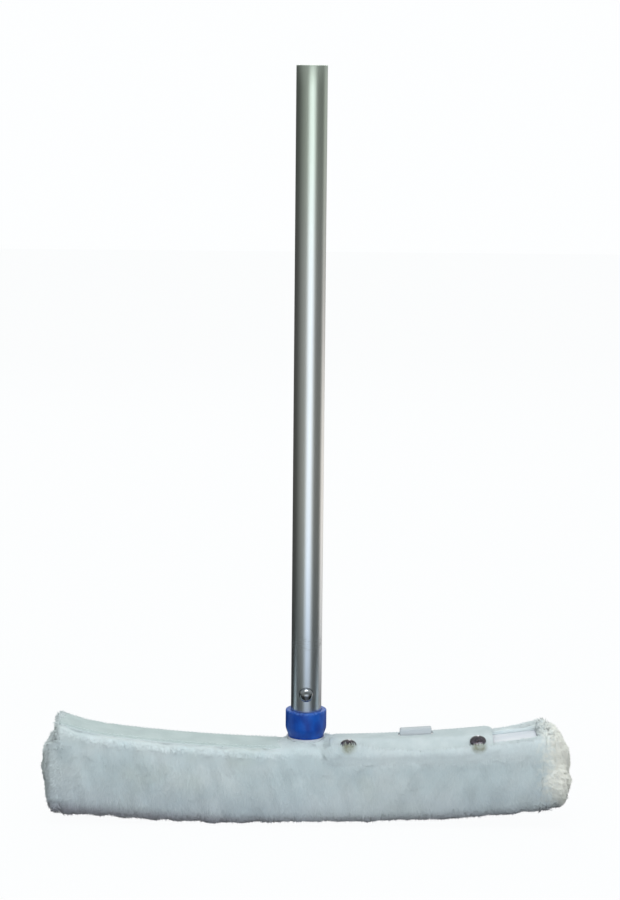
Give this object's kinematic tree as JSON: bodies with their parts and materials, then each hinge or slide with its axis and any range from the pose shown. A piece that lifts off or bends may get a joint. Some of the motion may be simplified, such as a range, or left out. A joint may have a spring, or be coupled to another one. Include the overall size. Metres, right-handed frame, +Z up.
{
  "type": "floor wax applicator",
  "caption": "T-shaped floor wax applicator: a straight tube handle in a blue socket on a bowed crossbar, covered by a long fleece sleeve that closes with a snap-down flap.",
  "frame": {"origin": "on the floor under the axis of the handle, in the plane of the sleeve's flattened sole", "axes": "+Z up along the handle, +X along the head towards the half with the slit and flap, -Y the side with the push button"},
  "size_m": [0.437, 0.0525, 0.6287],
  "materials": {
    "anodised_aluminium": "satin, drawn tube",
    "blue_plastic": "moulded, low sheen",
    "button_steel": "polished",
    "spring_steel": "tempered strip",
    "zinc_steel": "zinc plated",
    "grey_plastic": "moulded, low sheen",
    "white_fleece": "long-pile fleece",
    "cream_fleece": "long-pile fleece, cream",
    "white_webbing": "smooth woven band",
    "flap_cloth": "smooth woven cloth",
    "snap_gunmetal": "dark plated",
    "snap_brass": "plain"
  },
  "bodies": {
    "applicator": {"pole_tube": "anodised_aluminium", "socket_body": "blue_plastic", "button_spring": "spring_steel", "socket_bolt": "zinc_steel", "bolt_washer": "zinc_steel", "captive_nut": "zinc_steel", "crossbar": "grey_plastic", "sleeve_body": "white_fleece", "sleeve_end_left": "white_fleece", "sleeve_end_right": "cream_fleece", "top_binding": "white_webbing", "slit_hem": "white_webbing", "snap_stud_inner": "snap_brass", "snap_stud_outer": "snap_brass", "snap_post_inner": "snap_brass", "snap_post_outer": "snap_brass"},
    "button": {"push_button": "button_steel"},
    "flap": {"closure_flap": "flap_cloth", "snap_cap_inner": "snap_gunmetal", "snap_cap_outer": "snap_gunmetal", "snap_socket_inner": "snap_brass", "snap_socket_outer": "snap_brass"}
  },
  "joints": [
    {"name": "button_press", "type": "slide", "parent": "applicator", "child": "button", "axis": [0, 1, 0], "range_m": [0, 0.0055], "stiffness_N_per_m": 500, "springref_m": -0.003, "deforming": ["button_spring"]},
    {"name": "flap_open", "type": "hinge", "parent": "applicator", "child": "flap", "pos_m": [0.09125, 0.0235, 0.06867], "axis": [-0.9977, 0, -0.0672], "range_deg": [0, 160]}
  ]
}
